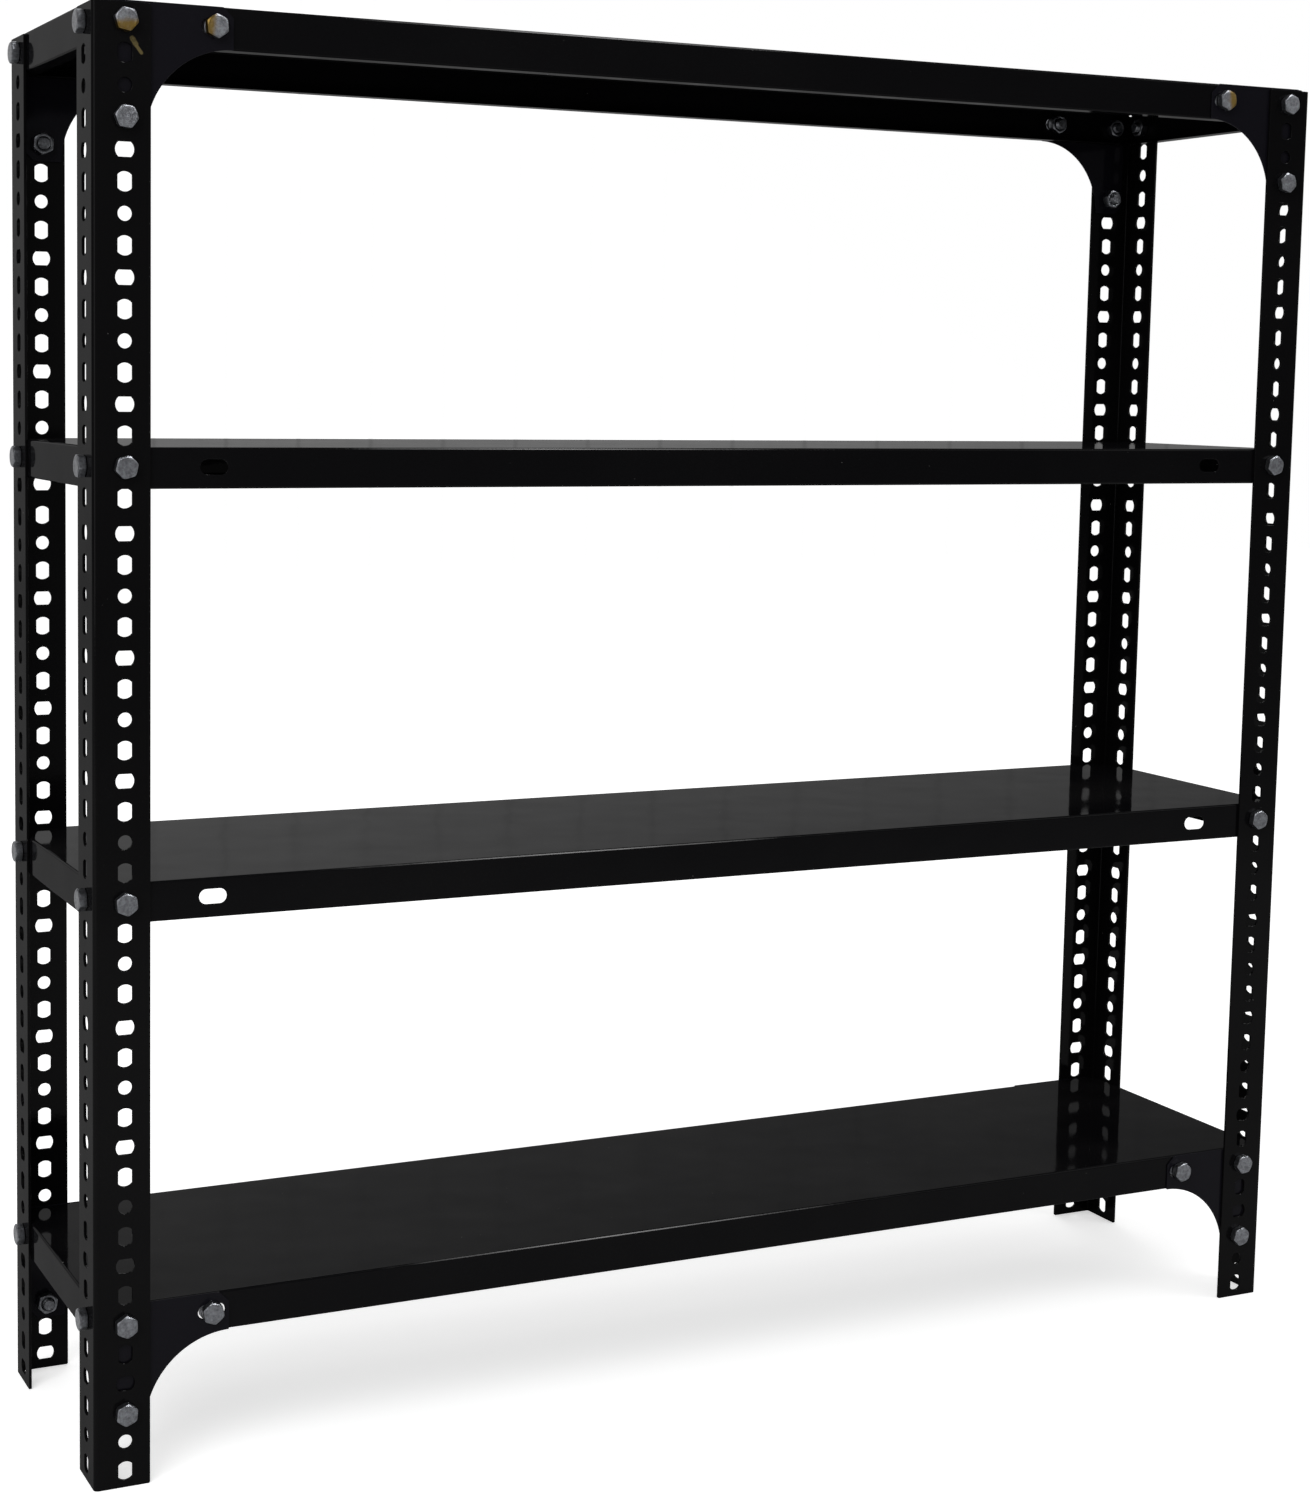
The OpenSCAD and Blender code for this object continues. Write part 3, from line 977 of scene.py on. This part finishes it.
def copies(pattern, places, films):
    """One mesh of a pattern at each place, with a yellow film on some of them."""
    normals = area_normals(pattern)
    bm = bmesh.new()
    film_layer = bm.verts.layers.float.new("yellow_film")
    made_normals = []
    for number, place in enumerate(places):
        turn = place.to_3x3()
        film = films.get(number)
        made = []
        for vertex, normal in zip(pattern.verts, normals):
            copy = bm.verts.new(place @ vertex.co)
            offset = copy.co - place.translation
            copy[film_layer] = FILM_TRACE
            if film:
                direction, start = film
                depth = (direction.dot(offset) - start) / FILM_BLEND
                copy[film_layer] = min(max(depth, FILM_TRACE), 1.0)
            made.append(copy)
            made_normals.append(tuple(turn @ normal))
        pattern.verts.index_update()
        for face in pattern.faces:
            bm.faces.new([made[vertex.index] for vertex in face.verts])
    pattern.free()
    return bm, made_normals


def build_fasteners(context, kind, pattern, finish):
    """Builds the bolts or the nuts of every level, a piece for each node."""
    sizes, fasteners = context.scene.rack_sizes, context.scene.rack_fasteners
    for number, level in enumerate(LEVELS):
        at_shelf, at_gussets = fastener_places(sizes, number)[kind]
        groups = {f"{kind}_shelf_{level}": at_shelf}
        if number in GUSSET_LEVELS:
            groups[f"{kind}_gussets_{level}"] = at_gussets
        for node, places in groups.items():
            bm, normals = copies(pattern(fasteners), places, YELLOW_HEADS.get(node, {}))
            hand_over(context, bm, f"hex_{node}", finish, [node], normals)


# ---- Operators ----


class RACK_OT_posts(bpy.types.Operator):
    """Builds the four slotted posts"""

    bl_idname = "rack.posts"
    bl_label = "Slotted Posts"

    def execute(self, context):
        for corner in CORNERS:
            node = f"post_{corner}"
            bm = slotted_angle(context.scene.rack_sizes, corner)
            hand_over(context, bm, f"slotted_{node}", "coat_of_posts", [node])
        return {"FINISHED"}


class RACK_OT_trays(bpy.types.Operator):
    """Builds the four tray shelves"""

    bl_idname = "rack.trays"
    bl_label = "Tray Shelves"

    def execute(self, context):
        for number, level in enumerate(LEVELS):
            node = f"shelf_{level}"
            bm = folded_tray(context.scene.rack_sizes, number)
            hand_over(context, bm, f"tray_{node}", "coat_of_trays", [node])
        return {"FINISHED"}


class RACK_OT_gussets(bpy.types.Operator):
    """Builds the eight corner gussets"""

    bl_idname = "rack.gussets"
    bl_label = "Corner Gussets"

    def execute(self, context):
        for number in GUSSET_LEVELS:
            for corner in CORNERS:
                node = f"gusset_{LEVELS[number]}_{corner}"
                bm = corner_gusset(context.scene.rack_sizes, number, corner)
                hand_over(context, bm, f"corner_{node}", "coat_of_gussets", [node])
        return {"FINISHED"}


class RACK_OT_bolts(bpy.types.Operator):
    """Builds the bolts of every shelf and gusset"""

    bl_idname = "rack.bolts"
    bl_label = "Hexagon Bolts"

    def execute(self, context):
        build_fasteners(context, "bolts", hex_bolt, "zinc_of_bolts")
        return {"FINISHED"}


class RACK_OT_nuts(bpy.types.Operator):
    """Builds the nuts of every shelf and gusset"""

    bl_idname = "rack.nuts"
    bl_label = "Hexagon Nuts"

    def execute(self, context):
        build_fasteners(context, "nuts", hex_nut, "zinc_of_nuts")
        return {"FINISHED"}


# ---- Stage ----

CAMERA_PLACE = (-0.849195, -1.565604, 0.695442)
CAMERA_RIGHT = Vector((0.913095, -0.407502, 0.014142))
CAMERA_DOWN = Vector((-0.027140, -0.095346, -0.995074))
CAMERA_LENS_MM = 59.786
CAMERA_SENSOR_MM = 36.0
CAMERA_SHIFT = (0.10722, -0.08393)
CAMERA_CLIP = (0.05, 50.0)

# Lamps: name, place, where it points, size in metres and power in watts
LAMPS = (
    ("key_softbox", (-2.4, -2.2, 2.9), (0.0, 0.0, 0.4), 2.0, 60.0),
    ("left_softbox", (-3.0, -1.9, 1.0), (-0.4, 0.0, 0.6), 1.6, 14.0),
    ("fill_softbox", (2.8, -2.0, 2.4), (0.0, 0.0, 0.4), 2.0, 18.0),
    ("rear_softbox", (0.8, 3.2, 3.2), (0.0, 0.0, 0.5), 1.8, 26.0),
)
# Strength of the light from all round, and of the dim room that mirrors in the rack
AMBIENT = 0.55
DIM_ROOM = 0.35
# The light wall behind the rack, which mirrors in it: the way it runs, its strength, the most that
# it reaches, and the width of its panels and the place of a joint for each metre of distance
WALL_ALONG = Vector((0.913095, -0.407502))
WALL_LIGHT = 1.2
WALL_MOST = 1.1
WALL_PANEL = 0.02898
WALL_JOINT = -0.13605
# A strip light in the room's ceiling: its strength, and its place and half its width in the
# direction's x
CEILING_LIGHT = 45.0
CEILING_LIGHT_X = 0.43
CEILING_LIGHT_REACH = 0.08
# The floor: its size, where a painted shade starts in front and how far it fades in, and its glow
# to the camera and in reflections. The painted shade is a grey that only reflections and bounced
# light see, and stands for a dim room in front of the rack
FLOOR_SIZE = 14.0
FLOOR_SHADE_START = -1.3
FLOOR_FADE = 0.8
FLOOR_GLOW = 0.58
FLOOR_MIRRORED_GLOW = 0.12
FLOOR_MOTTLE = rgba((0.78, 0.78, 0.78))
# painted shade: the floor's colour in front of the rack, seen only in reflections and bounced light
FLOOR_PAINTED_SHADE = rgba((0.35, 0.35, 0.35))


def seen_directly(f):
    """1 for what the camera, a reflection or glass sees, 0 for what lights other surfaces."""
    return (f.ray("Camera") + f.ray("Glossy") + f.ray("Transmission")).limited()


def light_wall(f, x, y, z):
    """How light the wall is in a direction: less towards the right, and with height."""
    wall = (WALL_LIGHT - 2.0 * z.most(0.0) - 1.5 * (x - 0.46)).least(WALL_MOST).most(DIM_ROOM)
    ahead = x * -WALL_ALONG.y + y * WALL_ALONG.x
    across = (x * WALL_ALONG.x + y * WALL_ALONG.y) / ahead.most(0.2)
    # joints between its panels, and faint upright streaks
    from_joint = 0.5 - abs(((across - WALL_JOINT) / WALL_PANEL).fraction() - 0.5)
    stretched = f.node("ShaderNodeCombineXYZ", None, {0: across * 220.0, 1: z * 6.0})
    streaks = f.noise(1.0, 3.0, 0.6, stretched)
    wall = wall * (0.84 + 0.16 * from_joint.above(0.012, 0.03)) * (0.94 + 0.12 * streaks)
    # a shade on its left part, deeper low down, and a deep one at its left end
    left = 0.0 - x
    wall = wall * (1 - left.above(0.0, 0.15) * (0.236 - 1.3 * z).limited().least(0.34))
    return wall * (1 - 0.65 * left.above(0.32, 0.25))


def ceiling_strip(x, y, z):
    """1 in the middle of the strip light in the ceiling, 0 past its edges."""
    across = (1 - abs(x - CEILING_LIGHT_X) / CEILING_LIGHT_REACH).limited()
    return across * (0.05 - y).above(0.0, 0.15) * z.above(0.35, 0.2)


def white_world(scene):
    """A white surround to look at, which lights the rack as a soft grey.

    What mirrors in the rack is a dim room in front, with a strip light, and a light wall behind.
    """
    world = bpy.data.worlds.new("studio")
    world.use_nodes = True
    scene.world = world
    f = Finish(world.node_tree)
    direction = f.node("ShaderNodeTexCoord", output="Generated")
    x, y, z = (f.part(direction, axis) for axis in "XYZ")
    wall = light_wall(f, x, y, z)
    # the room in front is dimmer to the right, and gives way to the wall behind
    room = DIM_ROOM * (1.15 - 1.4 * (x - 0.26).limited()).most(0.5)
    mirrored = room + (wall - room) * y.above(-0.55, 0.6) + CEILING_LIGHT * ceiling_strip(x, y, z)
    seen = f.ray("Camera").most(mirrored)
    light = f.node("ShaderNodeBackground", None, {"Color": WHITE, "Strength": AMBIENT})
    view = f.node("ShaderNodeBackground", None, {"Color": WHITE, "Strength": seen})
    either = f.node("ShaderNodeMixShader", None, {0: seen_directly(f), 1: light, 2: view})
    f.end("ShaderNodeOutputWorld", either)


def floor_paint(tone):
    """Pale matt floor that keeps the rack's shadow, with a painted shade in front that only
    reflections and bounced light see.
    """
    material, f = blank_material("floor_paint")
    base = f.mix(f.noise(3.0, 4.0, 0.5) * 0.04, rgba(tone), FLOOR_MOTTLE)
    y, camera = f.part(f.at(), "Y"), f.ray("Camera")
    # painted shade: in front of the rack the floor turns dark grey for every ray but the camera's,
    # so the rack mirrors and catches less light from the floor there
    base = f.mix((FLOOR_SHADE_START - y).above(0.0, FLOOR_FADE) * (1 - camera), base, FLOOR_PAINTED_SHADE)
    matt = {"Base Color": base, "Roughness": 0.9, "Specular IOR Level": 0.0}
    paint = f.node("ShaderNodeBsdfPrincipled", None, matt)
    strength = FLOOR_MIRRORED_GLOW * seen_directly(f) + (FLOOR_GLOW - FLOOR_MIRRORED_GLOW) * camera
    glow = f.node("ShaderNodeEmission", None, {"Color": WHITE, "Strength": strength})
    f.end("ShaderNodeOutputMaterial", f.node("ShaderNodeAddShader", None, {0: paint, 1: glow}))
    return material


class RACK_OT_stage(bpy.types.Operator):
    """Sets up the camera, the soft lamps, the white surround and the floor"""

    bl_idname = "rack.stage"
    bl_label = "Camera, Light and Floor"

    def execute(self, context):
        scene = context.scene
        camera = bpy.data.objects.new("camera", bpy.data.cameras.new("camera"))
        camera.data.lens = CAMERA_LENS_MM
        camera.data.sensor_width = CAMERA_SENSOR_MM
        camera.data.shift_x, camera.data.shift_y = CAMERA_SHIFT
        camera.data.clip_start, camera.data.clip_end = CAMERA_CLIP
        up = -CAMERA_DOWN.normalized()
        right = (CAMERA_RIGHT - up * CAMERA_RIGHT.dot(up)).normalized()
        axes = Matrix((right, up, right.cross(up))).transposed()
        camera.matrix_world = Matrix.Translation(CAMERA_PLACE) @ axes.to_4x4()
        scene.collection.objects.link(camera)
        scene.camera = camera
        scene.view_settings.view_transform = "Standard"

        for name, place, target, size, power in LAMPS:
            lamp = bpy.data.lights.new(name, "AREA")
            lamp.size = size
            lamp.energy = power
            holder = bpy.data.objects.new(name, lamp)
            holder.location = place
            holder.rotation_mode = "QUATERNION"
            holder.rotation_quaternion = (Vector(target) - Vector(place)).to_track_quat("-Z", "Y")
            scene.collection.objects.link(holder)

        white_world(scene)
        mesh = bpy.data.meshes.new("floor")
        half = FLOOR_SIZE / 2
        corners = [(-half, -half, 0), (half, -half, 0), (half, half, 0), (-half, half, 0)]
        mesh.from_pydata(corners, [], [(0, 1, 2, 3)])
        mesh.materials.append(floor_paint(scene.rack_colours.floor))
        floor = bpy.data.objects.new("floor", mesh)
        scene.collection.objects.link(floor)
        return {"FINISHED"}


GROUPS = {"rack_sizes": RackSizes, "rack_fasteners": FastenerSizes, "rack_colours": RackColours}
OPERATORS = (
    RACK_OT_stage,
    RACK_OT_posts,
    RACK_OT_trays,
    RACK_OT_gussets,
    RACK_OT_bolts,
    RACK_OT_nuts,
)


class RACK_PT_panel(bpy.types.Panel):
    """Sizes and colours of the rack, and its operators"""

    bl_label = "Storage Rack"
    bl_space_type = "VIEW_3D"
    bl_region_type = "UI"
    bl_category = "Rack"

    def draw(self, context):
        for operator in OPERATORS:
            self.layout.operator(operator.bl_idname)
        for group in GROUPS:
            box = self.layout.box()
            for name in GROUPS[group].__annotations__:
                box.prop(getattr(context.scene, group), name)


CLASSES = (*GROUPS.values(), *OPERATORS, RACK_PT_panel)


def register():
    for cls in CLASSES:
        bpy.utils.register_class(cls)
    for name, group in GROUPS.items():
        setattr(bpy.types.Scene, name, PointerProperty(type=group))


def unregister():
    for name in GROUPS:
        delattr(bpy.types.Scene, name)
    for cls in reversed(CLASSES):
        bpy.utils.unregister_class(cls)


def main():
    register()
    bpy.ops.rack.stage()
    bpy.ops.rack.posts()
    bpy.ops.rack.trays()
    bpy.ops.rack.gussets()
    bpy.ops.rack.bolts()
    bpy.ops.rack.nuts()


if __name__ == "__main__":
    main()
